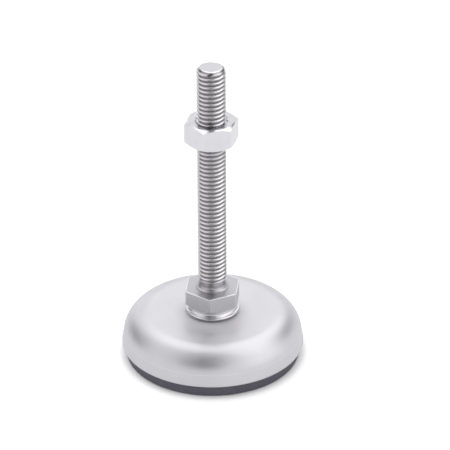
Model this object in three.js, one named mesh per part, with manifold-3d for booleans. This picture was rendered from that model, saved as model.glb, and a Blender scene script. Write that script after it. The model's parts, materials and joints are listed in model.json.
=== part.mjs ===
// Swivel levelling foot for furniture, as six separate pieces:
// a pressed steel base on a rubber pad, a support plate and a plastic seat inside it,
// a ball-ended stud that tilts in the seat, and a lock nut on the stud's thread.
// Millimetres, +Z up. The origin is on the floor, on the axis of the base.
import * as THREE from 'three';
import { mergeVertices } from 'three/addons/utils/BufferGeometryUtils.js';
import Module from 'manifold-3d';

const wasm = await Module();
wasm.setup();

// Fits
const CLEARANCE = 0.3; // running and seating gap between two pieces
const NUT_CLEARANCE = 0.15; // the nut's plain bore outside the thread's crest
const NECK_CLEARANCE = 0.9; // the shell's hole round the stud's neck, for the tilt
const CEILING_CLEARANCE = 0.95; // over the lip of that hole, for the tilt
const TILT = THREE.MathUtils.degToRad(5); // how far the stud leans to each side
const TILT_SPARE = 0.1; // what is left under the skirt at full tilt

// Whole foot
const TOTAL_HEIGHT = 87.8;
const BASE_DIAMETER = 50;

// Base shell, pressed from sheet
const SHEET = 2;
const SHOULDER_RADIUS = 7;
const WALL_DRAFT = THREE.MathUtils.degToRad(8);
const LIP_SHEET = 1.8; // the sheet thins where it is drawn up over the ball
const LIP_FILLET = 0.6; // between the crown and the drawn lip

// Rubber pad
const PAD_FLOOR = 1.8; // rubber left under the plate's cup
const PAD_FLANGE_HEIGHT = 3.1;
const PAD_INSET = 1.15; // the shell's rim stands out over the pad's flange
const PAD_EDGE_RADIUS = 0.5;
const GROOVE_WIDTH = 1;
const GROOVE_DEPTH = 0.7;
const GROOVE_PITCH = 6;
const GROOVES = 3;
const TREAD_EDGE = 4.8; // from the flange's edge to the middle of the first groove

// Support plate, pressed steel with a central cup
const PLATE = 1.5;
const CUP_FLOOR = 1.2;

// Ball, seat and neck
const BALL_DIAMETER = 9;
const BALL_DROP = 3.6; // from the crown down to the centre of the ball
const SEAT_DIAMETER = 16;
const SEAT_FLOOR = 1; // plastic left under the ball
const SEAT_CHAMFER = 0.6;
const NECK_DIAMETER = 5.2;

// Skirt and hexagon, turned and milled from round bar
const SKIRT_DIAMETER = 15;
const SKIRT_LIP = 0.55;
const SKIRT_FLARE = 0.6; // from the lip's radius in to the waist's
const SKIRT_FLARE_HEIGHT = 1.1;
const SKIRT_WALL = 0.9;
const SKIRT_CORNER = 0.4; // chamfer at the top of the skirt's hollow
const SKIRT_CEILING = 1.1; // metal between the skirt's hollow and the hexagon
const HEX_ACROSS_FLATS = 14;
const HEX_HEIGHT = 3.7;
const HEX_CORNER_CUT = 0.233; // the round bar takes this off the hexagon's corners
const HEX_CHAMFER = 0.25;
const HEX_TURN = THREE.MathUtils.degToRad(-6.2); // a corner points this far off the front

// Shank and thread
const COLLAR_FILLET = 0.9;
const SHANK_LENGTH = 3.25;
const THREAD_DIAMETER = 8;
const THREAD_PITCH = 1.25;
const THREAD_PHASE = 0.86; // height of a crest at the front, above a whole number of pitches
const POINT_CUT = 0.65; // the point takes this off the thread's radius
const POINT_HEIGHT = 0.9;

// Lock nut
const NUT_ACROSS_FLATS = 13;
const NUT_HEIGHT = 6.5;
const NUT_DROP = 15.7; // from the end of the stud down to the top of the nut
const NUT_FACE_STEP = 0.3; // from the flats in to the chamfer's circle
const NUT_CHAMFER = THREE.MathUtils.degToRad(30);
const NUT_COUNTERSINK = 0.45; // outside the thread's radius
const NUT_TURN = THREE.MathUtils.degToRad(-16.6);

// Facets
const ROUND = 48; // sides of the large round pieces
const SMALL_ROUND = 32; // sides of the ball, the seat and the nut's bore
const THREAD_STEPS = 10; // steps in one turn of the thread
const PROUD = 0.1; // how far a cutting or joining body stands past a face

// What follows from the sizes above: the base
const SOCKET_RADIUS = BALL_DIAMETER / 2 + CLEARANCE;
const CUP_BOTTOM = PAD_FLOOR + CLEARANCE;
const CUP_TOP = CUP_BOTTOM + CUP_FLOOR; // the face that the seat stands on
const SEAT_BOTTOM = CUP_TOP + CLEARANCE;
const BALL_HEIGHT = SEAT_BOTTOM + SEAT_FLOOR + SOCKET_RADIUS; // of its centre
const CROWN_HEIGHT = BALL_HEIGHT + BALL_DROP; // of the shell's flat top
const RIM_HEIGHT = PAD_FLANGE_HEIGHT + CLEARANCE;
const SHOULDER_HEIGHT = CROWN_HEIGHT - SHOULDER_RADIUS;
const WALL_TOP = SHOULDER_HEIGHT + SHOULDER_RADIUS * Math.sin(WALL_DRAFT);
const WALL_LEAN = Math.tan(WALL_DRAFT);
const SHOULDER_CENTRE = BASE_DIAMETER / 2
  - WALL_LEAN * (WALL_TOP - RIM_HEIGHT)
  - SHOULDER_RADIUS * Math.cos(WALL_DRAFT);
const LIP_RADIUS = SOCKET_RADIUS + LIP_SHEET;
const HOLE_RADIUS = NECK_DIAMETER / 2 + NECK_CLEARANCE;
const LIP_TOP = BALL_HEIGHT + Math.sqrt(LIP_RADIUS ** 2 - HOLE_RADIUS ** 2);
const CUP_RADIUS = SEAT_DIAMETER / 2 + CLEARANCE;

// What follows from the sizes above: the stud and the nut
const SKIRT_RADIUS = SKIRT_DIAMETER / 2;
const SKIRT_RIM = BALL_HEIGHT
  + (BALL_DROP + TILT_SPARE + SKIRT_RADIUS * Math.sin(TILT)) / Math.cos(TILT);
const CEILING = LIP_TOP + CEILING_CLEARANCE;
const HEX_UNDERSIDE = CEILING + SKIRT_CEILING;
const HEX_TOP = HEX_UNDERSIDE + HEX_HEIGHT;
const THREAD_START = HEX_TOP + SHANK_LENGTH;
const CREST_RADIUS = THREAD_DIAMETER / 2;
const SHARP_HEIGHT = THREAD_PITCH * Math.sqrt(3) / 2; // of the thread form's sharp triangle
const CORE_RADIUS = CREST_RADIUS - SHARP_HEIGHT * 17 / 24;
const SHANK_RADIUS = CREST_RADIUS - SHARP_HEIGHT * 3 / 8; // the pitch line, as on rolled thread
const NUT_TOP = TOTAL_HEIGHT - NUT_DROP;

const at = (radius, height) => new THREE.Vector2(radius, height);

// Points of an arc in an outline, from one angle to another, anticlockwise if the angle grows.
function arc(radius, height, size, from, to, steps) {
  const curve = new THREE.EllipseCurve(radius, height, size, size, from, to, to < from);
  return curve.getPoints(steps);
}

// The geometry with its shared corners merged, no flat triangles, and its faces outwards.
function closed(geometry) {
  geometry.deleteAttribute('normal');
  geometry.deleteAttribute('uv');
  const merged = mergeVertices(geometry, 1e-5);
  const place = merged.getAttribute('position');
  const triangles = [];
  let volume = 0;
  for (let i = 0; i < merged.index.count; i += 3) {
    const [a, b, c] = [0, 1, 2].map((step) => merged.index.getX(i + step));
    if (a !== b && b !== c && c !== a) {
      triangles.push([a, b, c]);
      const corners = [a, b, c].map((n) => new THREE.Vector3().fromBufferAttribute(place, n));
      volume += corners[0].dot(corners[1].cross(corners[2])) / 6;
    }
  }
  const faces = volume < 0 ? triangles.map(([a, b, c]) => [a, c, b]) : triangles;
  merged.setIndex(faces.flat());
  return merged;
}

// An outline of radius and height, turned round the Z axis.
function turned(outline, sides = ROUND) {
  const geometry = new THREE.LatheGeometry(outline, sides);
  geometry.rotateX(Math.PI / 2);
  return closed(geometry);
}

// A hexagonal bar standing on a height, turned so that a corner is that far off the front.
function hexagon(acrossFlats, bottom, height, turn) {
  const corner = acrossFlats / Math.sqrt(3);
  const geometry = new THREE.CylinderGeometry(corner, corner, height, 6);
  geometry.rotateX(Math.PI / 2);
  geometry.rotateZ(turn);
  geometry.translate(0, 0, bottom + height / 2);
  return closed(geometry);
}

function solid(geometry) {
  const vertProperties = new Float32Array(geometry.getAttribute('position').array);
  const triVerts = new Uint32Array(geometry.index.array);
  return new wasm.Manifold(new wasm.Mesh({ numProp: 3, vertProperties, triVerts }));
}

function geometryOf(body) {
  const mesh = body.getMesh();
  const geometry = new THREE.BufferGeometry();
  geometry.setAttribute('position', new THREE.BufferAttribute(mesh.vertProperties, 3));
  geometry.setIndex(new THREE.BufferAttribute(mesh.triVerts, 1));
  return geometry;
}

function piece(name, geometry, color, roughness, metalness) {
  const material = new THREE.MeshStandardMaterial({ color, roughness, metalness });
  geometry.computeVertexNormals();
  const mesh = new THREE.Mesh(geometry, material);
  mesh.name = name;
  return mesh;
}

// Radius of the shell's inside at a height on its straight wall or its shoulder.
function shellInside(height) {
  if (height < WALL_TOP - SHEET * Math.sin(WALL_DRAFT)) {
    const outside = BASE_DIAMETER / 2 - WALL_LEAN * (height - RIM_HEIGHT);
    return outside - SHEET / Math.cos(WALL_DRAFT);
  }
  const size = SHOULDER_RADIUS - SHEET;
  return SHOULDER_CENTRE + Math.sqrt(size ** 2 - (height - SHOULDER_HEIGHT) ** 2);
}

// Angle on a circle about the ball's centre where it is this far from the axis.
const angleAt = (radius, size) => Math.acos(radius / size);

function baseShell() {
  const half = Math.PI / 2;
  const inside = SHOULDER_RADIUS - SHEET;
  // the fillet that leads from the flat crown into the outside of the lip
  const filletRise = BALL_DROP + LIP_FILLET;
  const filletCentre = Math.sqrt((LIP_RADIUS + LIP_FILLET) ** 2 - filletRise ** 2);
  const filletEnd = Math.atan2(filletRise, filletCentre);
  const outline = [
    at(BASE_DIAMETER / 2, RIM_HEIGHT),
    ...arc(SHOULDER_CENTRE, SHOULDER_HEIGHT, SHOULDER_RADIUS, WALL_DRAFT, half, 7),
    ...arc(filletCentre, CROWN_HEIGHT + LIP_FILLET, LIP_FILLET, -half, filletEnd - Math.PI, 3),
    ...arc(0, BALL_HEIGHT, LIP_RADIUS, filletEnd, angleAt(HOLE_RADIUS, LIP_RADIUS), 3),
    ...arc(0, BALL_HEIGHT, SOCKET_RADIUS, angleAt(HOLE_RADIUS, SOCKET_RADIUS),
      Math.asin((BALL_DROP - SHEET) / SOCKET_RADIUS), 4),
    ...arc(SHOULDER_CENTRE, SHOULDER_HEIGHT, inside, half, WALL_DRAFT, 4),
    at(shellInside(RIM_HEIGHT), RIM_HEIGHT),
  ];
  outline.push(outline[0].clone());
  return piece('base_shell', turned(outline), '#c9c8cd', 0.42, 0.9);
}

// Rings cut into the tread, so that it grips and lets water out.
function treadGrooves(outerRadius) {
  const outline = [];
  for (let n = GROOVES; n > 0; n -= 1) {
    const middle = outerRadius - TREAD_EDGE - GROOVE_PITCH * (GROOVES - n);
    const [outer, inner] = [middle + GROOVE_WIDTH / 2, middle - GROOVE_WIDTH / 2];
    outline.unshift(at(inner, 0), at(inner, GROOVE_DEPTH), at(outer, GROOVE_DEPTH), at(outer, 0));
  }
  return outline;
}

function rubberPad() {
  const flange = BASE_DIAMETER / 2 - PAD_INSET;
  const plugTop = SHOULDER_HEIGHT - CLEARANCE;
  const plug = shellInside(plugTop) - CLEARANCE;
  const recess = CUP_RADIUS + PLATE + CLEARANCE;
  const outline = [
    at(0, 0),
    ...treadGrooves(flange),
    ...arc(flange - PAD_EDGE_RADIUS, PAD_EDGE_RADIUS, PAD_EDGE_RADIUS, -Math.PI / 2, 0, 3),
    at(flange, PAD_FLANGE_HEIGHT),
    at(plug, PAD_FLANGE_HEIGHT),
    at(plug, plugTop),
    at(recess, plugTop),
    at(recess, PAD_FLOOR),
    at(0, PAD_FLOOR),
  ];
  return piece('rubber_pad', turned(outline), '#4b4953', 0.75, 0);
}

function supportPlate() {
  const top = SHOULDER_HEIGHT + PLATE;
  const rim = shellInside(top) - CLEARANCE;
  const cup = CUP_RADIUS + PLATE;
  const outline = [
    at(0, CUP_BOTTOM),
    at(cup, CUP_BOTTOM),
    at(cup, SHOULDER_HEIGHT),
    at(rim, SHOULDER_HEIGHT),
    at(rim, top),
    at(CUP_RADIUS, top),
    at(CUP_RADIUS, CUP_TOP),
    at(0, CUP_TOP),
  ];
  return piece('support_plate', turned(outline), '#9a9ca0', 0.5, 0.9);
}

function ballSeat() {
  const radius = SEAT_DIAMETER / 2;
  const top = CROWN_HEIGHT - SHEET - CLEARANCE;
  const outline = [
    at(0, SEAT_BOTTOM),
    at(radius - SEAT_CHAMFER, SEAT_BOTTOM),
    at(radius, SEAT_BOTTOM + SEAT_CHAMFER),
    at(radius, top - SEAT_CHAMFER),
    at(radius - SEAT_CHAMFER, top),
    at(SOCKET_RADIUS, top),
    ...arc(0, BALL_HEIGHT, SOCKET_RADIUS, 0, -Math.PI / 2, 7),
  ];
  return piece('ball_seat', turned(outline, SMALL_ROUND), '#e8e4da', 0.45, 0);
}

// Ball, neck, hollow skirt, collar and shank: everything on the stud that is turned.
function studBody() {
  const ball = BALL_DIAMETER / 2;
  const neck = NECK_DIAMETER / 2;
  const waist = SKIRT_RADIUS - SKIRT_FLARE;
  const lipTop = SKIRT_RIM + SKIRT_LIP;
  const collar = SHANK_RADIUS + COLLAR_FILLET;
  const outline = [
    ...arc(0, BALL_HEIGHT, ball, -Math.PI / 2, angleAt(neck, ball), 11),
    at(neck, CEILING),
    at(waist - SKIRT_WALL - SKIRT_CORNER, CEILING),
    at(waist - SKIRT_WALL, CEILING - SKIRT_CORNER),
    at(SKIRT_RADIUS - SKIRT_WALL, SKIRT_RIM),
    at(SKIRT_RADIUS - SKIRT_LIP / 3, SKIRT_RIM),
    at(SKIRT_RADIUS, SKIRT_RIM + SKIRT_LIP / 3),
    at(SKIRT_RADIUS, lipTop),
    at(waist + SKIRT_FLARE / 3, lipTop + SKIRT_FLARE_HEIGHT / 2),
    at(waist, lipTop + SKIRT_FLARE_HEIGHT),
    at(waist, HEX_UNDERSIDE + HEX_CHAMFER),
    at(waist, HEX_TOP - HEX_CHAMFER),
    at(collar, HEX_TOP - HEX_CHAMFER),
    ...arc(collar, HEX_TOP + COLLAR_FILLET, COLLAR_FILLET, -Math.PI / 2, -Math.PI, 3),
    at(SHANK_RADIUS, THREAD_START),
    at(0, THREAD_START),
  ];
  return solid(turned(outline, SMALL_ROUND));
}

// The hexagon milled on round bar, which leaves its corners as narrow strips of the bar.
function studHexagon() {
  const bar = HEX_ACROSS_FLATS / Math.sqrt(3) - HEX_CORNER_CUT;
  const round = turned([
    at(0, HEX_UNDERSIDE),
    at(bar - HEX_CHAMFER, HEX_UNDERSIDE),
    at(bar, HEX_UNDERSIDE + HEX_CHAMFER),
    at(bar, HEX_TOP - HEX_CHAMFER),
    at(bar - HEX_CHAMFER, HEX_TOP),
    at(0, HEX_TOP),
  ]);
  const height = HEX_HEIGHT + 2 * PROUD;
  const milled = hexagon(HEX_ACROSS_FLATS, HEX_UNDERSIDE - PROUD, height, HEX_TURN);
  return solid(round).intersect(solid(milled));
}

// A bar with the section of one thread ridge, wound up the core as a right-handed helix.
function threadRidge() {
  const foot = CORE_RADIUS - PROUD;
  const crestWidth = THREAD_PITCH / 8;
  const footWidth = crestWidth + 2 * (CREST_RADIUS - foot) * Math.tan(Math.PI / 6);
  const turns = Math.ceil((TOTAL_HEIGHT - THREAD_START) / THREAD_PITCH) + 2;
  const first = Math.floor(THREAD_START / THREAD_PITCH) - 1;
  const geometry = new THREE.BoxGeometry(turns, 1, 1, turns * THREAD_STEPS, 1, 1);
  const place = geometry.getAttribute('position');
  for (let n = 0; n < place.count; n += 1) {
    const turn = place.getX(n) + turns / 2;
    const outside = place.getZ(n) > 0;
    const radius = outside ? CREST_RADIUS : foot;
    const rise = Math.sign(place.getY(n)) * (outside ? crestWidth : footWidth) / 2;
    const angle = 2 * Math.PI * turn - Math.PI / 2;
    const height = (first + turn) * THREAD_PITCH + THREAD_PHASE + rise;
    place.setXYZ(n, radius * Math.cos(angle), radius * Math.sin(angle), height);
  }
  return solid(closed(geometry));
}

function thread() {
  const bottom = THREAD_START - PROUD;
  const outside = CREST_RADIUS + PROUD;
  const core = turned([
    at(0, bottom),
    at(CORE_RADIUS, bottom),
    at(CORE_RADIUS, TOTAL_HEIGHT),
    at(0, TOTAL_HEIGHT),
  ], THREAD_STEPS);
  // the blank that the thread is cut from, with its pointed end and its run-out at the shank
  const blank = turned([
    at(0, bottom),
    at(CORE_RADIUS, bottom),
    at(outside, bottom + outside - CORE_RADIUS),
    at(outside, TOTAL_HEIGHT - POINT_HEIGHT),
    at(CREST_RADIUS - POINT_CUT, TOTAL_HEIGHT),
    at(0, TOTAL_HEIGHT),
  ], SMALL_ROUND);
  return solid(core).add(threadRidge()).intersect(solid(blank));
}

function threadedStud() {
  const whole = studBody().add(studHexagon()).add(thread());
  return piece('threaded_stud', geometryOf(whole), '#b9b9bd', 0.3, 1);
}

function lockNut() {
  const bottom = NUT_TOP - NUT_HEIGHT;
  const corner = NUT_ACROSS_FLATS / Math.sqrt(3);
  const outside = corner + PROUD;
  const face = NUT_ACROSS_FLATS / 2 - NUT_FACE_STEP;
  const chamfer = (outside - face) * Math.tan(NUT_CHAMFER);
  const bore = CREST_RADIUS + NUT_CLEARANCE;
  const sink = CREST_RADIUS + NUT_COUNTERSINK;
  const body = turned([
    at(0, bottom),
    at(face, bottom),
    at(outside, bottom + chamfer),
    at(outside, NUT_TOP - chamfer),
    at(face, NUT_TOP),
    at(0, NUT_TOP),
  ]);
  const cutter = turned([
    at(0, bottom - PROUD),
    at(sink + PROUD, bottom - PROUD),
    at(bore, bottom + sink - bore),
    at(bore, NUT_TOP - sink + bore),
    at(sink + PROUD, NUT_TOP + PROUD),
    at(0, NUT_TOP + PROUD),
  ], SMALL_ROUND);
  const height = NUT_HEIGHT + 2 * PROUD;
  const bar = hexagon(NUT_ACROSS_FLATS, bottom - PROUD, height, NUT_TURN);
  const whole = solid(bar).intersect(solid(body)).subtract(solid(cutter));
  return piece('lock_nut', geometryOf(whole), '#d9d9dc', 0.2, 1);
}

const foot = new THREE.Group();
foot.name = 'levelling_foot';
foot.add(baseShell(), rubberPad(), supportPlate(), ballSeat(), threadedStud(), lockNut());

export default foot;
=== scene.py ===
"""Finished surfaces of a swivel levelling foot: a blasted steel base on a rubber pad, a turned and
milled ball stud with a rolled thread, and a bright lock nut. Sizes are in metres."""
import json
import math

import bmesh
import bpy
from mathutils import Matrix, Vector


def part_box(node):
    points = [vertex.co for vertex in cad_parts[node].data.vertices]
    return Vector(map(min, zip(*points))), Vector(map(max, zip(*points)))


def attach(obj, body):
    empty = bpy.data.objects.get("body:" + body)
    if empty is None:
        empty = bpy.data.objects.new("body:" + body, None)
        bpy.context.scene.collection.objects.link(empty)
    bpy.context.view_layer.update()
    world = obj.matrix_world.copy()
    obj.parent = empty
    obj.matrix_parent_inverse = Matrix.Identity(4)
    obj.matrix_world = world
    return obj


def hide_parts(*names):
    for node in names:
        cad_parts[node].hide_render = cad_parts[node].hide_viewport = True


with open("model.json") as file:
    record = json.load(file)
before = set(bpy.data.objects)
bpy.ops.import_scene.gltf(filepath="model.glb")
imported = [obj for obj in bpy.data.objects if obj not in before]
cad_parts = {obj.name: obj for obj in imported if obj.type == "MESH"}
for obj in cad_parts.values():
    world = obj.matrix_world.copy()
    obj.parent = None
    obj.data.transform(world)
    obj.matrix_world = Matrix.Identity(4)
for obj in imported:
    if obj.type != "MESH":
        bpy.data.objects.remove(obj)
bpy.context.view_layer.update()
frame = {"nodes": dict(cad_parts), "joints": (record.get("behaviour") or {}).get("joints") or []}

MM = 0.001
TURN = 2 * math.pi

# Places taken from the frame
RIM_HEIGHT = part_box("base_shell")[0].z
BASE_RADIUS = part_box("base_shell")[1].x
PAD_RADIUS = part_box("rubber_pad")[1].x
PLUG_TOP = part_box("rubber_pad")[1].z
STUD_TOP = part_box("threaded_stud")[1].z
BALL_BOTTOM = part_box("threaded_stud")[0].z
NUT_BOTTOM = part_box("lock_nut")[0].z
NUT_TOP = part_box("lock_nut")[1].z
BALL_CENTRE = frame["joints"][0]["pos_m"][2]

# Base shell
CROWN_HEIGHT = 13 * MM
SHEET = 2 * MM
SHOULDER_RADIUS = 7 * MM
DRAFT = math.radians(8)
SOCKET_RADIUS = 4.8 * MM
LIP_RADIUS = 6.6 * MM
LIP_HOLE = 3.5 * MM
LIP_FILLET = 0.6 * MM
RIM_ROUND = 0.35 * MM

# Rubber pad
FLANGE_HEIGHT = 3.1 * MM
PLUG_RADIUS = 22.36 * MM
RECESS_RADIUS = 10.1 * MM
RECESS_FLOOR = 1.8 * MM
PAD_ROUND = 0.5 * MM
PLUG_ROUND = 0.25 * MM
GROOVE_ROUND = 0.2 * MM
GROOVE_MIDDLES = [7.05 * MM, 13.05 * MM, 19.05 * MM]
GROOVE_WIDTH = 1 * MM
GROOVE_DEPTH = 0.7 * MM

# Stud below the hexagon
BALL_RADIUS = BALL_CENTRE - BALL_BOTTOM
NECK_RADIUS = 2.6 * MM
NECK_FILLET = 0.5 * MM
SKIRT_RADIUS = 7.5 * MM
SKIRT_RIM = 13.77 * MM
SKIRT_WAIST = 6.5 * MM
SKIRT_WALL = 0.9 * MM
SKIRT_CEILING = 15.95 * MM
SKIRT_FILLET = 0.4 * MM
LIP_ROUND = 0.3 * MM
WAIST_HEIGHT = 15.2 * MM
SWEEP_ROUND = 1.115 * MM  # above the waist, up to the flats of the hexagon
SWEEP_END = math.radians(66)  # where it turns into the cone under the corners
HEX_BOTTOM = 16.05 * MM  # where the turned piece hands over to the hexagon, above the hollow
SWEEP_START = math.asin((HEX_BOTTOM - WAIST_HEIGHT) / SWEEP_ROUND)

# Hexagon
HEX_APOTHEM = 7 * MM
HEX_BAR_RADIUS = 7.93 * MM
HEX_TOP = 20.746 * MM
HEX_BEVEL = 0.22 * MM
HEX_CORNER = math.radians(-6.2)  # the way that a corner points, from the front

# Shank and thread
COLLAR_FILLET = 0.9 * MM
COLLAR_STEP = 0.22 * MM
COLLAR_EDGE = 0.1 * MM
COLLAR_DEPTH = 0.3 * MM  # how far the collar reaches into the hexagon
SHANK_RADIUS = 3.594 * MM
SHANK_TOP = 22.3 * MM
RUN_OUT_START = 23.0 * MM
RUN_OUT_END = 24.2 * MM
CREST_RADIUS = 4 * MM
ROOT_RADIUS = 3.21 * MM
PITCH = 1.25 * MM
FLANK = math.radians(30)
CREST_FALL = 0.02 * MM  # what the flat of a crest drops to its edge
ROOT_RISE = 0.09 * MM  # what the rounded root rises to the flank
CREST_PHASE = 0.86 * MM  # height of a crest at the front, above a whole number of pitches
POINT_RADIUS = 3.2 * MM
POINT_HEIGHT = 0.9 * MM
POINT_ROUND = 0.5 * MM
END_MARGIN = 0.06 * MM  # a band inside the end face, which keeps the face's shading flat

# Lock nut
NUT_APOTHEM = 6.5 * MM
NUT_FACE_RADIUS = 6.2 * MM
NUT_CHAMFER = math.radians(30)
NUT_BORE = 4.06 * MM
NUT_SINK_RADIUS = 4.45 * MM
NUT_EDGE = 0.1 * MM
NUT_CORNER = math.radians(-16.6)
THREAD_GAP = 0.04 * MM  # between the nut's thread and the stud's
RIDGE_CLEARANCE = 0.13 * MM  # between the nut's ridge and the stud's root
RIDGE_OVERLAP = 0.05 * MM  # how far the ridge reaches into the nut
RIDGE_INSET = 0.2 * MM  # from the end of a countersink to the end of the ridge

# Fineness
SIDES = 192
SHELL_SIDES = 256
THREAD_STEPS = 60
WELD = 0.0005 * MM

FRONT = -math.pi / 2


# Shapes ------------------------------------------------------------------------------------------

def arc(radius, height, size, start, end, steps=12):
    """Points of an arc in an outline of (radius, height). The angles are in degrees."""
    turn = [math.radians(start + (end - start) * n / steps) for n in range(steps + 1)]
    return [(radius + size * math.cos(a), height + size * math.sin(a)) for a in turn]


def finish_mesh(name, bm, sharp=35):
    """The mesh object of a bmesh, welded, facing outwards and smooth up to an angle."""
    bmesh.ops.remove_doubles(bm, verts=bm.verts, dist=WELD)
    bmesh.ops.dissolve_degenerate(bm, edges=bm.edges, dist=WELD)
    bmesh.ops.recalc_face_normals(bm, faces=bm.faces)
    mesh = bpy.data.meshes.new(name)
    bm.to_mesh(mesh)
    bm.free()
    mesh.shade_smooth()
    mesh.set_sharp_from_angle(angle=math.radians(sharp))
    made = bpy.data.objects.new(name, mesh)
    bpy.context.scene.collection.objects.link(made)
    return made


def steady(outline, closed, margin=0.12 * MM):
    """The outline with a short stretch at both ends of each long straight one, so that the shading
    of a round edge stays near that edge."""
    points = []
    following = outline[1:] + (outline[:1] if closed else [])
    for start, end in zip(outline, following):
        length = math.dist(start, end)
        points.append(start)
        if length > 4 * margin:
            for share in (margin / length, 1 - margin / length):
                points.append(tuple(a + (b - a) * share for a, b in zip(start, end)))
    return points if closed else points + outline[-1:]


def draw(bm, outline, closed=False):
    """The outline as a chain of edges in the front half plane of the axis."""
    verts = [bm.verts.new((0, -radius, height)) for radius, height in outline]
    pairs = list(zip(verts, verts[1:])) + ([(verts[-1], verts[0])] if closed else [])
    edges = [bm.edges.new(pair) for pair in pairs]
    return verts + edges


def turn_outline(bm, outline, closed=False, sides=SIDES):
    """The outline turned all the way round the axis."""
    bmesh.ops.spin(bm, geom=draw(bm, steady(outline, closed), closed), cent=(0, 0, 0),
                   axis=(0, 0, 1), angle=TURN, steps=sides, use_merge=True)


def cut(bm, point, normal):
    """Cuts away what lies past a plane and closes the cut."""
    whole = bm.verts[:] + bm.edges[:] + bm.faces[:]
    made = bmesh.ops.bisect_plane(bm, geom=whole, plane_co=point, plane_no=normal,
                                  dist=0.00001 * MM, clear_outer=True)
    edges = [e for e in made["geom_cut"] if isinstance(e, bmesh.types.BMEdge)]
    bmesh.ops.holes_fill(bm, edges=edges, sides=0)


def cut_flats(bm, apothem, corner):
    """Six flats round the axis, one corner pointing off the front by the angle given."""
    for n in range(6):
        angle = FRONT + corner + TURN * (n + 0.5) / 6
        normal = Vector((math.cos(angle), math.sin(angle), 0))
        cut(bm, normal * apothem, normal)


def flatten(bm):
    """Joins the faces that lie in one plane, and welds what the cuts left."""
    bmesh.ops.remove_doubles(bm, verts=bm.verts, dist=WELD)
    bmesh.ops.recalc_face_normals(bm, faces=bm.faces)
    bmesh.ops.dissolve_limit(bm, angle_limit=math.radians(0.2), verts=bm.verts, edges=bm.edges)


def smooth_step(value, low, high):
    """0 below low and 1 above high, smooth between them."""
    share = min(max((value - low) / (high - low), 0), 1)
    return share * share * (3 - 2 * share)


# Base --------------------------------------------------------------------------------------------

def make_shell():
    """The pressed shell: a drafted wall, a round shoulder, a flat crown and a lip over the ball."""
    draft = math.degrees(DRAFT)
    shoulder_height = CROWN_HEIGHT - SHOULDER_RADIUS
    wall_top = shoulder_height + SHOULDER_RADIUS * math.sin(DRAFT)
    shoulder_middle = (BASE_RADIUS - math.tan(DRAFT) * (wall_top - RIM_HEIGHT)
                       - SHOULDER_RADIUS * math.cos(DRAFT))
    inner = SHOULDER_RADIUS - SHEET
    inner_rim = BASE_RADIUS - SHEET / math.cos(DRAFT)
    drop = CROWN_HEIGHT - BALL_CENTRE
    fillet_rise = drop + LIP_FILLET
    fillet_middle = math.sqrt((LIP_RADIUS + LIP_FILLET) ** 2 - fillet_rise ** 2)
    fillet_end = math.degrees(math.atan2(fillet_rise, fillet_middle))
    outline = [
        *arc(BASE_RADIUS - RIM_ROUND, RIM_HEIGHT + RIM_ROUND, RIM_ROUND, -90, draft, 6),
        *arc(shoulder_middle, shoulder_height, SHOULDER_RADIUS, draft, 90, 40),
        *arc(fillet_middle, CROWN_HEIGHT + LIP_FILLET, LIP_FILLET, 270, 180 + fillet_end, 8),
        *arc(0, BALL_CENTRE, LIP_RADIUS, fillet_end,
             math.degrees(math.acos(LIP_HOLE / LIP_RADIUS)), 8),
        *arc(0, BALL_CENTRE, SOCKET_RADIUS, math.degrees(math.acos(LIP_HOLE / SOCKET_RADIUS)),
             math.degrees(math.asin((drop - SHEET) / SOCKET_RADIUS)), 8),
        *arc(shoulder_middle, shoulder_height, inner, 90, draft, 24),
        *arc(inner_rim + RIM_ROUND, RIM_HEIGHT + RIM_ROUND, RIM_ROUND, 180 + draft, 270, 6),
    ]
    bm = bmesh.new()
    turn_outline(bm, outline, closed=True, sides=SHELL_SIDES)
    return finish_mesh("shell", bm)


def make_pad():
    """The rubber pad: a flange under the shell's rim, a plug inside it and ring grooves below."""
    tread = []
    for middle in GROOVE_MIDDLES:
        inner = middle - GROOVE_WIDTH / 2
        outer = middle + GROOVE_WIDTH / 2
        edge = GROOVE_ROUND
        tread += arc(inner - edge, edge, edge, -90, 0, 4)
        tread += arc(inner + edge, GROOVE_DEPTH - edge, edge, 180, 90, 4)
        tread += arc(outer - edge, GROOVE_DEPTH - edge, edge, 90, 0, 4)
        tread += arc(outer + edge, edge, edge, 180, 270, 4)
    outline = [
        (0, 0),
        *tread,
        *arc(PAD_RADIUS - PAD_ROUND, PAD_ROUND, PAD_ROUND, -90, 0, 8),
        *arc(PAD_RADIUS - PLUG_ROUND, FLANGE_HEIGHT - PLUG_ROUND, PLUG_ROUND, 0, 90, 5),
        (PLUG_RADIUS, FLANGE_HEIGHT),
        *arc(PLUG_RADIUS - PLUG_ROUND, PLUG_TOP - PLUG_ROUND, PLUG_ROUND, 0, 90, 4),
        (RECESS_RADIUS, PLUG_TOP),
        (RECESS_RADIUS, RECESS_FLOOR),
        (0, RECESS_FLOOR),
    ]
    bm = bmesh.new()
    turn_outline(bm, outline)
    return finish_mesh("pad", bm)


# Stud --------------------------------------------------------------------------------------------

def sweep(start, end, steps):
    """Outline above the waist, between two angles of its arc."""
    return arc(SKIRT_WAIST + SWEEP_ROUND, WAIST_HEIGHT, SWEEP_ROUND,
               180 - math.degrees(start), 180 - math.degrees(end), steps)


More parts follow.
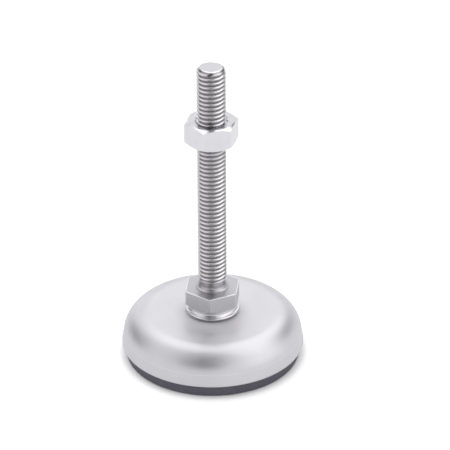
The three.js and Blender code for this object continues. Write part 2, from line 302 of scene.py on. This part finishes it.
def make_stud_turning():
    """Ball, neck and hollow skirt, which flares from its waist to a thin lip."""
    neck_angle = math.degrees(math.acos(NECK_RADIUS / BALL_RADIUS))
    hollow = SKIRT_WAIST - SKIRT_WALL
    lip_middle = SKIRT_RADIUS - LIP_ROUND
    lip_height = SKIRT_RIM + LIP_ROUND
    # the flare's arc touches the lip's, which sets its radius
    inward = lip_middle - SKIRT_WAIST
    rise = WAIST_HEIGHT - lip_height
    flare_round = (inward ** 2 + rise ** 2 - LIP_ROUND ** 2) / (2 * (LIP_ROUND + inward))
    slope = math.degrees(math.atan2(rise, flare_round - inward))
    outline = [
        *arc(0, BALL_CENTRE, BALL_RADIUS, -90, neck_angle, 40),
        *arc(NECK_RADIUS + NECK_FILLET, SKIRT_CEILING - NECK_FILLET, NECK_FILLET, 180, 90, 5),
        *arc(hollow - SKIRT_FILLET, SKIRT_CEILING - SKIRT_FILLET, SKIRT_FILLET, 90, 0, 5),
        (SKIRT_RADIUS - SKIRT_WALL, SKIRT_RIM),
        *arc(lip_middle, lip_height, LIP_ROUND, -90, slope, 12),
        *arc(SKIRT_WAIST + flare_round, WAIST_HEIGHT, flare_round, 180 + slope, 180, 16),
        *sweep(0, SWEEP_START, 8),
        (0, HEX_BOTTOM),
    ]
    bm = bmesh.new()
    turn_outline(bm, outline)
    return finish_mesh("stud_turning", bm)


def make_stud_hexagon():
    """The spanner hexagon: six flats cut on the round bar above the flare, its edges broken."""
    under_flats = sweep(SWEEP_START, SWEEP_END, 6)
    radius, height = under_flats[-1]
    corner_height = height + (HEX_BAR_RADIUS - radius) / math.tan(SWEEP_END)
    outline = [
        (0, HEX_BOTTOM),
        *under_flats,
        (HEX_BAR_RADIUS, corner_height),
        (HEX_BAR_RADIUS, HEX_TOP),
        (0, HEX_TOP),
    ]
    bm = bmesh.new()
    turn_outline(bm, outline)
    cut_flats(bm, HEX_APOTHEM, HEX_CORNER)
    flatten(bm)
    top_edges = [e for e in bm.edges if all(v.co.z > HEX_TOP - 0.01 * MM for v in e.verts)]
    upright = [e for e in bm.edges if abs(e.verts[0].co.z - e.verts[1].co.z) > 2 * MM]
    bmesh.ops.bevel(bm, geom=top_edges + upright, offset=HEX_BEVEL, segments=2, profile=0.5,
                    affect="EDGES", material=-1, clamp_overlap=True)
    return finish_mesh("stud_hexagon", bm, sharp=8)


def make_stud_collar():
    """The fillet on the hexagon's top and the plain shank."""
    foot = SHANK_RADIUS + COLLAR_FILLET
    outline = [
        (0, HEX_TOP - COLLAR_DEPTH),
        (foot, HEX_TOP - COLLAR_DEPTH),
        *arc(foot - COLLAR_EDGE, HEX_TOP + COLLAR_STEP - COLLAR_EDGE, COLLAR_EDGE, 0, 70, 5),
        *arc(foot, HEX_TOP + COLLAR_STEP + COLLAR_FILLET, COLLAR_FILLET, 250, 180, 12),
        (SHANK_RADIUS, SHANK_TOP),
        (0, SHANK_TOP),
    ]
    bm = bmesh.new()
    turn_outline(bm, outline)
    return finish_mesh("stud_collar", bm)


def thread_outline(crest, root):
    """One pitch of the thread about a crest, as (radius, height from the crest)."""
    flat = PITCH / 16
    crest_edge = crest - CREST_FALL
    root_edge = root + ROOT_RISE
    slope = math.tan(FLANK)
    foot = flat + (crest_edge - root_edge) * slope
    half = [(crest, 0), (crest_edge, flat)]
    half += [(crest_edge + (root_edge - crest_edge) * n / 4,
              flat + (foot - flat) * n / 4) for n in range(1, 5)]
    half.append((root, PITCH / 2))
    return [(radius, -height) for radius, height in reversed(half[1:])] + half


def wind(bm, outline, first_crest, turns, closed=False):
    """The outline wound up the axis as a right-handed helix that starts at the front."""
    start = [(radius, first_crest + height) for radius, height in outline]
    bmesh.ops.spin(bm, geom=draw(bm, start, closed), cent=(0, 0, 0), axis=(0, 0, 1),
                   dvec=(0, 0, PITCH / THREAD_STEPS), angle=TURN, steps=THREAD_STEPS)
    one_turn = bm.verts[:] + bm.edges[:] + bm.faces[:]
    for n in range(1, turns):
        copy = bmesh.ops.duplicate(bm, geom=one_turn)["geom"]
        verts = [part for part in copy if isinstance(part, bmesh.types.BMVert)]
        bmesh.ops.translate(bm, vec=(0, 0, PITCH * n), verts=verts)
    bmesh.ops.remove_doubles(bm, verts=bm.verts, dist=0.001 * MM)


def point_limit(height):
    """Radius of the stud's pointed and slightly rounded end at a height."""
    slope = (CREST_RADIUS - POINT_RADIUS) / POINT_HEIGHT
    cone = POINT_RADIUS + (STUD_TOP - height) * slope
    rise = min(max(height - (STUD_TOP - POINT_ROUND), 0), POINT_ROUND)
    return cone - POINT_ROUND + math.sqrt(POINT_ROUND ** 2 - rise ** 2)


def make_stud_thread():
    """The rolled thread, with its run-out into the shank below and its point above."""
    first = math.floor(SHANK_TOP / PITCH) - 1
    turns = math.ceil(STUD_TOP / PITCH) + 1 - first
    bm = bmesh.new()
    wind(bm, thread_outline(CREST_RADIUS, ROOT_RADIUS), first * PITCH + CREST_PHASE, turns)
    for vert in bm.verts:
        radius = math.hypot(vert.co.x, vert.co.y)
        depth = smooth_step(vert.co.z, RUN_OUT_START, RUN_OUT_END)
        wanted = SHANK_RADIUS + (radius - SHANK_RADIUS) * depth
        wanted = min(wanted, point_limit(vert.co.z))
        vert.co.xy *= wanted / radius
    cut(bm, Vector((0, 0, SHANK_TOP)), Vector((0, 0, -1)))
    cut(bm, Vector((0, 0, STUD_TOP)), Vector((0, 0, 1)))
    bmesh.ops.recalc_face_normals(bm, faces=bm.faces)
    top_faces = [f for f in bm.faces if f.calc_center_median().z > STUD_TOP - 0.001 * MM]
    end = max(top_faces, key=lambda face: face.calc_area())
    bmesh.ops.inset_individual(bm, faces=[end], thickness=END_MARGIN, use_even_offset=True)
    return finish_mesh("stud_thread", bm, sharp=75)


# Nut ---------------------------------------------------------------------------------------------

def make_nut():
    """The lock nut: a hexagon chamfered both ends, countersunk, with its own thread inside."""
    bar = NUT_APOTHEM / math.cos(math.radians(30)) + 0.05 * MM
    fall = (bar - NUT_FACE_RADIUS) * math.tan(NUT_CHAMFER)
    sink = NUT_SINK_RADIUS - NUT_BORE
    outline = [
        (NUT_BORE, NUT_BOTTOM + sink + NUT_EDGE),
        *arc(NUT_SINK_RADIUS + NUT_EDGE, NUT_BOTTOM + NUT_EDGE, NUT_EDGE, 225, 270, 4),
        (NUT_FACE_RADIUS, NUT_BOTTOM),
        (bar, NUT_BOTTOM + fall),
        (bar, NUT_TOP - fall),
        (NUT_FACE_RADIUS, NUT_TOP),
        *arc(NUT_SINK_RADIUS + NUT_EDGE, NUT_TOP - NUT_EDGE, NUT_EDGE, 90, 135, 4),
        (NUT_BORE, NUT_TOP - sink - NUT_EDGE),
    ]
    bm = bmesh.new()
    turn_outline(bm, outline, closed=True)
    cut_flats(bm, NUT_APOTHEM, NUT_CORNER)
    flatten(bm)
    join(bm, nut_thread(sink))
    return finish_mesh("nut", bm, sharp=14)


def nut_thread(sink):
    """The ridge inside the nut that runs in the stud's groove, cut off inside the countersinks."""
    base = NUT_BORE + RIDGE_OVERLAP
    tip = ROOT_RADIUS + RIDGE_CLEARANCE
    slope = math.tan(FLANK)
    tip_half = PITCH / 16
    # the groove between two of the stud's ridges is this wide, each way, at the nut's bore
    base_half = PITCH / 2 - PITCH / 16 + (NUT_BORE - CREST_RADIUS) * slope - THREAD_GAP
    ridge = [(base, -base_half), (tip, -tip_half), (tip, tip_half), (base, base_half)]
    first = math.floor(NUT_BOTTOM / PITCH) - 1
    turns = math.ceil((NUT_TOP - NUT_BOTTOM) / PITCH) + 3
    bm = bmesh.new()
    wind(bm, ridge, (first + 0.5) * PITCH + CREST_PHASE, turns, closed=True)
    inset = sink + RIDGE_INSET
    cut(bm, Vector((0, 0, NUT_BOTTOM + inset)), Vector((0, 0, -1)))
    cut(bm, Vector((0, 0, NUT_TOP - inset)), Vector((0, 0, 1)))
    return bm


def join(bm, other):
    """Adds another bmesh to this one."""
    mesh = bpy.data.meshes.new("joined")
    other.to_mesh(mesh)
    other.free()
    bm.from_mesh(mesh)
    bpy.data.meshes.remove(mesh)


# Finishes ----------------------------------------------------------------------------------------

class Level:
    """A number that varies from place to place, as a socket that takes part in expressions."""

    def __init__(self, nodes, socket):
        self.nodes = nodes
        self.socket = socket

    def _math(self, operation, first, second):
        made = self.nodes.add("ShaderNodeMath", {"operation": operation}, {0: first, 1: second})
        return Level(self.nodes, made.outputs[0])

    def __add__(self, other):
        return self._math("ADD", self, other)

    def __radd__(self, other):
        return self._math("ADD", other, self)

    def __sub__(self, other):
        return self._math("SUBTRACT", self, other)

    def __rsub__(self, other):
        return self._math("SUBTRACT", other, self)

    def __mul__(self, other):
        return self._math("MULTIPLY", self, other)

    def __rmul__(self, other):
        return self._math("MULTIPLY", other, self)

    def __pow__(self, other):
        return self._math("POWER", self, other)

    def size(self):
        """The number without its sign."""
        return self.nodes.level("ShaderNodeMath", {"operation": "ABSOLUTE"}, {0: self})

    def larger(self, other):
        """The larger of two numbers."""
        return self._math("MAXIMUM", self, other)

    def step(self, low, high):
        """0 below low and 1 above high, smooth between them."""
        made = self.nodes.add("ShaderNodeMapRange", {"interpolation_type": "SMOOTHSTEP"},
                              {"Value": self, "From Min": low, "From Max": high})
        return Level(self.nodes, made.outputs[0])


class Nodes:
    """A node tree in the making."""

    def __init__(self, tree):
        self.tree = tree
        tree.nodes.clear()

    def add(self, kind, settings=None, sockets=None):
        """A node: its settings first, then the values or links of its sockets."""
        made = self.tree.nodes.new(kind)
        for name, value in (settings or {}).items():
            setattr(made, name, value)
        for name, value in (sockets or {}).items():
            self.plug(made.inputs[name], value)
        return made

    def plug(self, socket, value):
        if isinstance(value, Level):
            value = value.socket
        if isinstance(value, bpy.types.NodeSocket):
            self.tree.links.new(value, socket)
        else:
            socket.default_value = value

    def level(self, kind, settings=None, sockets=None, output=0):
        return Level(self, self.add(kind, settings, sockets).outputs[output])

    def parts(self, vector):
        """The three coordinates of a vector, as levels."""
        made = self.add("ShaderNodeSeparateXYZ", None, {0: vector})
        return [Level(self, made.outputs[n]) for n in range(3)]

    def noise(self, place, size, detail=3, roughness=0.5):
        """Noise from about -0.5 to 0.5 with features of this size."""
        made = self.level("ShaderNodeTexNoise", None, {
            "Vector": place, "Scale": 1 / size, "Detail": detail, "Roughness": roughness})
        return made - 0.5

    def blend(self, share, first, second):
        """A colour between two, by share."""
        made = self.add("ShaderNodeMix", {"data_type": "RGBA"}, {"Factor": share})
        self.plug(made.inputs[6], first)
        self.plug(made.inputs[7], second)
        return made.outputs[2]


def rgb(red, green, blue):
    return (red, green, blue, 1)


def not_metal(nodes, place, radius, z):
    return 0.0


def make_finish(name, color, roughness, bump_height, bump, metallic=None):
    """A material. color, roughness, bump and metallic are functions of the nodes, the place, the
    distance from the axis and the height; bump_height is what the range of bump stands for. A
    metallic of None is bare metal."""
    material = bpy.data.materials.new(name)
    material.use_nodes = True
    nodes = Nodes(material.node_tree)
    place = nodes.add("ShaderNodeTexCoord").outputs["Object"]
    x, y, z = nodes.parts(place)
    radius = (x * x + y * y) ** 0.5
    raised = nodes.add("ShaderNodeBump", None, {
        "Strength": 1.0, "Distance": bump_height, "Height": bump(nodes, place, radius, z)})
    shader = nodes.add("ShaderNodeBsdfPrincipled", None, {
        "Metallic": metallic(nodes, place, radius, z) if metallic else 1.0,
        "Base Color": color(nodes, place, radius, z),
        "Roughness": roughness(nodes, place, radius, z),
        "Normal": raised.outputs[0],
    })
    out = nodes.add("ShaderNodeOutputMaterial")
    nodes.plug(out.inputs["Surface"], shader.outputs[0])
    return material


def blasted_steel():
    """Stainless sheet, blasted to an even satin. Round the stud's skirt it is duller and less
    metallic, and painted lighter there as painted fill light in the skirt's shadow; a painted
    highlight runs where the wall meets the shoulder."""
    def cloud(nodes, place):
        return nodes.noise(place, 9 * MM, 2).step(-0.3, 0.3)

    # 1 round the skirt: duller and less metallic there, and painted lighter as fill light in its
    #                    shadow
    def dull_with_painted_fill(radius):
        return 1 - radius.step(SKIRT_RADIUS - 0.3 * MM, SKIRT_RADIUS + 6 * MM)

    # 1 in a thin band where the wall meets the shoulder, where a highlight is painted
    def painted_bend_highlight(z):
        return z.step(6.75 * MM, 6.9 * MM) * (1 - z.step(6.95 * MM, 7.1 * MM))

    def color(nodes, place, radius, z):
        satin = nodes.blend(cloud(nodes, place), rgb(0.645, 0.638, 0.675), rgb(0.695, 0.688, 0.72))
        # painted highlight: a lighter band along the bend between the wall and the shoulder
        with_bend_highlight = nodes.blend(painted_bend_highlight(z) * 0.35, satin, rgb(0.85, 0.845, 0.87))
        # painted fill light: the crown is painted lighter round the skirt, lifting the skirt's
        # shadow
        return nodes.blend(dull_with_painted_fill(radius), with_bend_highlight, rgb(0.76, 0.752, 0.785))

    def roughness(nodes, place, radius, z):
        satin = 0.39 + 0.04 * cloud(nodes, place) + 0.06 * nodes.noise(place, 0.3 * MM, 2)
        return satin + 0.25 * dull_with_painted_fill(radius)

    def metallic(nodes, place, radius, z):
        return 0.85 - 0.5 * dull_with_painted_fill(radius)

    def bump(nodes, place, radius, z):
        return nodes.noise(place, 0.16 * MM, 3, 0.6)

    return make_finish("blasted_steel", color, roughness, 0.004 * MM, bump, metallic)


def pad_rubber():
    """Moulded rubber, matt, with a bloom of dust."""
    def color(nodes, place, radius, z):
        dust = nodes.noise(place, 3 * MM, 4).step(-0.1, 0.5)
        return nodes.blend(dust, rgb(0.095, 0.09, 0.12), rgb(0.14, 0.135, 0.16))

    def roughness(nodes, place, radius, z):
        return 0.62 + 0.15 * nodes.noise(place, 1 * MM, 3)

    def bump(nodes, place, radius, z):
        return nodes.noise(place, 0.25 * MM, 4, 0.6)

    return make_finish("pad_rubber", color, roughness, 0.012 * MM, bump, not_metal)


def turned_steel(name, dark, light, dullness):
    """Bar turned in a lathe: fine rings, and tool marks that wander a little."""
    def rings(nodes, place, radius, z):
        drift = nodes.noise(place, 6 * MM, 1) * 0.02 * MM
        along = nodes.add("ShaderNodeCombineXYZ", None, {0: radius + drift, 2: z + drift})
        return nodes.noise(along.outputs[0], 0.07 * MM, 2, 0.7)

    def color(nodes, place, radius, z):
        return nodes.blend(rings(nodes, place, radius, z).step(-0.3, 0.3), dark, light)

    def roughness(nodes, place, radius, z):
        return dullness + 0.08 * rings(nodes, place, radius, z)

    return make_finish(name, color, roughness, 0.004 * MM, rings)


def milled_steel():
    """Flats left by a cutter: dull, with a fine grain along the bar. The end is faced in the lathe,
    and its edges are smoother, with a painted highlight that lightens them."""
    def grain(nodes, place, radius, z):
        made = nodes.add("ShaderNodeMapping", None, {"Vector": place, "Scale": (1, 1, 0.35)})
        return nodes.noise(made.outputs[0], 0.14 * MM, 3, 0.6)

    def across_flats(nodes, place, pair):
        """How far out a place is towards one pair of flats."""
        angle = FRONT + HEX_CORNER + TURN * (pair + 0.5) / 6
        along = nodes.level("ShaderNodeVectorMath", {"operation": "DOT_PRODUCT"},
                            {0: place, 1: (math.cos(angle), math.sin(angle), 0)}, "Value")
        return along.size()

    def edges(nodes, place, z):
        """1 on the broken edges round the top, where a highlight is painted."""
        first, second, third = [across_flats(nodes, place, pair) for pair in range(3)]
        out = first.larger(second).larger(third)
        inner_edge = HEX_APOTHEM - HEX_BEVEL
        lower_edge = HEX_TOP - HEX_BEVEL
        outer = out.step(inner_edge - 0.03 * MM, inner_edge + 0.02 * MM)
        return outer * z.step(lower_edge - 0.04 * MM, lower_edge + 0.03 * MM)

    def skin(radius):
        """1 on what is left of the bar at the corners."""
        return radius.step(HEX_BAR_RADIUS - 0.12 * MM, HEX_BAR_RADIUS - 0.05 * MM)

    def faced(z):
        return z.step(HEX_TOP - 0.04 * MM, HEX_TOP - 0.01 * MM)

    def color(nodes, place, radius, z):
        cut_steel = nodes.blend(grain(nodes, place, radius, z).step(-0.35, 0.35),
                                rgb(0.50, 0.495, 0.50), rgb(0.62, 0.615, 0.63))
        skinned = nodes.blend(skin(radius), cut_steel, rgb(0.63, 0.625, 0.65))
        with_end = nodes.blend(faced(z), skinned, rgb(0.51, 0.505, 0.535))
        # painted highlight: the broken edges are painted near white
        return nodes.blend(edges(nodes, place, z), with_end, rgb(0.84, 0.835, 0.85))

    def roughness(nodes, place, radius, z):
        dull = 0.46 + 0.12 * grain(nodes, place, radius, z)
        return dull - 0.14 * edges(nodes, place, z) - 0.06 * faced(z)

    return make_finish("milled_steel", color, roughness, 0.006 * MM, grain)


def rolled_steel():
    """Rolled thread: smooth flanks and crests, painted darker towards the roots as painted shade.
    """
    def color(nodes, place, radius, z):
        # 0 in the roots and 1 near the crests; the colour darkens towards the roots as painted
        # shade
        root = radius.step(ROOT_RADIUS + 0.1 * MM, CREST_RADIUS - 0.06 * MM)
        end = z.step(STUD_TOP - 0.2 * MM, STUD_TOP - 0.1 * MM)
        streak = nodes.noise(place, 0.5 * MM, 3)
        clear_of_root_shade = (root + streak * 0.2).step(0, 1)
        # painted shade: the roots are painted dark, and the crests keep the steel's colour
        thread = nodes.blend(clear_of_root_shade, rgb(0.33, 0.32, 0.325), rgb(0.80, 0.79, 0.81))
        return nodes.blend(end, thread, rgb(0.70, 0.695, 0.73))

    def roughness(nodes, place, radius, z):
        return 0.24 + 0.12 * nodes.noise(place, 0.4 * MM, 2)

    def bump(nodes, place, radius, z):
        return nodes.noise(place, 0.3 * MM, 2)

    return make_finish("rolled_steel", color, roughness, 0.0015 * MM, bump)


def bright_steel():
    """The nut: polished bright, with faint handling marks."""
    def color(nodes, place, radius, z):
        cloud = nodes.noise(place, 2.5 * MM, 3).step(-0.4, 0.4)
        return nodes.blend(cloud, rgb(0.72, 0.715, 0.75), rgb(0.78, 0.775, 0.80))

    def roughness(nodes, place, radius, z):
        return 0.15 + 0.10 * nodes.noise(place, 0.8 * MM, 3)

    def bump(nodes, place, radius, z):
        return nodes.noise(place, 1.1 * MM, 2)

    return make_finish("bright_steel", color, roughness, 0.003 * MM, bump)


def plated_steel():
    """Pressed plate under the shell, zinc plated and dull."""
    def color(nodes, place, radius, z):
        spangle = nodes.noise(place, 1.5 * MM, 3).step(-0.3, 0.3)
        return nodes.blend(spangle, rgb(0.50, 0.51, 0.53), rgb(0.60, 0.61, 0.63))

    def roughness(nodes, place, radius, z):
        return 0.48 + 0.1 * nodes.noise(place, 0.7 * MM, 2)

    def bump(nodes, place, radius, z):
        return nodes.noise(place, 0.3 * MM, 2)

    return make_finish("plate_steel", color, roughness, 0.006 * MM, bump)


def seat_plastic():
    """Natural acetal, smooth and slightly waxy."""
    def color(nodes, place, radius, z):
        cloud = nodes.noise(place, 4 * MM, 2).step(-0.3, 0.3)
        return nodes.blend(cloud, rgb(0.84, 0.82, 0.76), rgb(0.88, 0.86, 0.81))

    def roughness(nodes, place, radius, z):
        return 0.40 + 0.08 * nodes.noise(place, 1 * MM, 2)

    def bump(nodes, place, radius, z):
        return nodes.noise(place, 0.6 * MM, 2)

    return make_finish("seat_plastic", color, roughness, 0.004 * MM, bump, not_metal)


# Studio ------------------------------------------------------------------------------------------

TENT = 0.90
SOFT_BOX = 0.75
CAMERA_GAP = 0.95
ROOM = 0.80
BACK_LIGHT = 0.6
FLOOR_LIFT = 0.32


def make_camera():
    """A long lens from the front, nearly 30 degrees above the floor, which puts the foot a little
    left of the middle."""
    stand_off = 0.9207
    elevation = math.radians(29.57)
    middle = Vector((0, 0, 0.045))
    place = middle + Vector((0, -math.cos(elevation), math.sin(elevation))) * stand_off
    aim = middle + Vector((3.517, -2.254, -3.973)) * MM
    camera = bpy.data.objects.new("camera", bpy.data.cameras.new("camera"))
    camera.data.lens = 272.66
    camera.data.sensor_width = 36
    camera.data.clip_start = 0.01
    camera.data.clip_end = 20
    facing = (aim - place).to_track_quat("-Z", "Y").to_matrix().to_4x4()
    roll = Matrix.Rotation(math.radians(-0.26), 4, "Z")
    camera.matrix_world = Matrix.Translation(place) @ facing @ roll
    bpy.context.scene.collection.objects.link(camera)
    bpy.context.scene.camera = camera


def make_world():
    """A white room for what is matt, brighter behind the foot. What shines sees a white tent with
    brighter soft boxes overhead, at the right and low at the back left, and the dark gaps of the
    tent: where the camera looks in, up to the lamp's boom, and at its two back corners. The camera
    itself sees plain white."""
    world = bpy.data.worlds.new("studio")
    bpy.context.scene.world = world
    world.use_nodes = True
    world.cycles.sampling_method = "NONE"
    nodes = Nodes(world.node_tree)
    direction = nodes.add("ShaderNodeTexCoord").outputs["Generated"]

    def spot(around, height, core, edge):
        """1 within core degrees of a direction, and 0 past edge degrees. Around counts from the
        front, to the right."""
        turn, rise = math.radians(around), math.radians(height)
        middle = (math.sin(turn) * math.cos(rise), -math.cos(turn) * math.cos(rise), math.sin(rise))
        near = nodes.level("ShaderNodeVectorMath", {"operation": "DOT_PRODUCT"},
                           {0: direction, 1: middle}, output="Value")
        return near.step(math.cos(math.radians(edge)), math.cos(math.radians(core)))

    def any_of(*spots):
        clear = 1.0
        for lit in spots:
            clear = (1 - lit) * clear
        return 1 - clear

    soft_box = any_of(spot(155, 60, 16, 36), spot(90, 60, 10, 30), spot(-160, 64, 12, 28),
                      0.35 * spot(-155, 12, 6, 16), 0.6 * spot(66, 20, 14, 34))
    camera_gap = any_of(spot(-14, 34, 16, 29), spot(-8, 64, 10, 22), spot(0, 88, 3, 11))
    corners = any_of(0.85 * spot(-120, 14, 12, 23), 0.75 * spot(128, 28, 10, 21))
    shiny = (TENT + SOFT_BOX * soft_box) * (1 - CAMERA_GAP * camera_gap) * (1 - corners)
    soft = ROOM + BACK_LIGHT * spot(-160, 40, 10, 75)
    path = nodes.add("ShaderNodeLightPath")
    lit = nodes.add("ShaderNodeMix", {"data_type": "FLOAT"},
                    {0: path.outputs["Is Glossy Ray"], 2: soft, 3: shiny})
    strength = nodes.add("ShaderNodeMix", {"data_type": "FLOAT"},
                         {0: path.outputs["Is Camera Ray"], 2: lit.outputs[0], 3: 1.0})
    light = nodes.add("ShaderNodeBackground", None, {"Color": rgb(1, 1, 1),
                                                     "Strength": strength.outputs[0]})
    out = nodes.add("ShaderNodeOutputWorld")
    nodes.plug(out.inputs["Surface"], light.outputs[0])


def make_floor():
    """A pale floor, lifted to white away from the foot, so that its shadow stays close to it."""
    bm = bmesh.new()
    bmesh.ops.create_grid(bm, x_segments=4, y_segments=4, size=4)
    bmesh.ops.translate(bm, vec=(0, 0, -0.05 * MM), verts=bm.verts)
    floor = finish_mesh("floor", bm)
    material = bpy.data.materials.new("floor_white")
    material.use_nodes = True
    nodes = Nodes(material.node_tree)
    paint = nodes.add("ShaderNodeBsdfDiffuse", None, {"Color": rgb(0.93, 0.93, 0.935)})
    seen = nodes.level("ShaderNodeLightPath", None, None, "Is Camera Ray")
    open_floor = nodes.level("ShaderNodeAmbientOcclusion", {"samples": 16},
                             {"Distance": 2.5 * MM}, "AO")
    lift = nodes.add("ShaderNodeEmission", None, {
        "Color": rgb(1, 1, 1), "Strength": seen * open_floor * open_floor * FLOOR_LIFT})
    both = nodes.add("ShaderNodeAddShader", None, {0: paint.outputs[0], 1: lift.outputs[0]})
    out = nodes.add("ShaderNodeOutputMaterial")
    nodes.plug(out.inputs["Surface"], both.outputs[0])
    floor.data.materials.append(material)


# The foot ----------------------------------------------------------------------------------------

def fit(piece, body, slot, material, *nodes):
    """Gives a piece its finish, hangs it on the body that it rides on and hides the CAD nodes that
    it stands for.
    """
    piece.data.materials.append(material)
    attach(piece, body)
    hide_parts(*nodes)


def repaint(node, material):
    """A better finish for a CAD node that is right as it is."""
    mesh = frame["nodes"][node].data
    mesh.materials.clear()
    mesh.materials.append(material)


make_camera()
make_world()
make_floor()

bright_turned = turned_steel("turned_steel", rgb(0.70, 0.695, 0.71), rgb(0.80, 0.795, 0.81), 0.27)
# The shank and its fillet take a copy of the turned finish that is duller and painted darker:
# painted shade at the foot of the thread.
dull_turned_painted_shade = turned_steel("collar_steel", rgb(0.42, 0.41, 0.43), rgb(0.58, 0.57, 0.59), 0.36)
fit(make_shell(), "base", "blasted_steel", blasted_steel(), "base_shell")
fit(make_pad(), "base", "pad_rubber", pad_rubber(), "rubber_pad")
fit(make_stud_turning(), "stud", "turned_steel", bright_turned, "threaded_stud")
fit(make_stud_hexagon(), "stud", "turned_steel", milled_steel(), "threaded_stud")
fit(make_stud_collar(), "stud", "turned_steel", dull_turned_painted_shade, "threaded_stud")
fit(make_stud_thread(), "stud", "turned_steel", rolled_steel(), "threaded_stud")
fit(make_nut(), "nut", "bright_steel", bright_steel(), "lock_nut")
repaint("support_plate", plated_steel())
repaint("ball_seat", seat_plastic())

bpy.context.scene.view_settings.view_transform = "Standard"
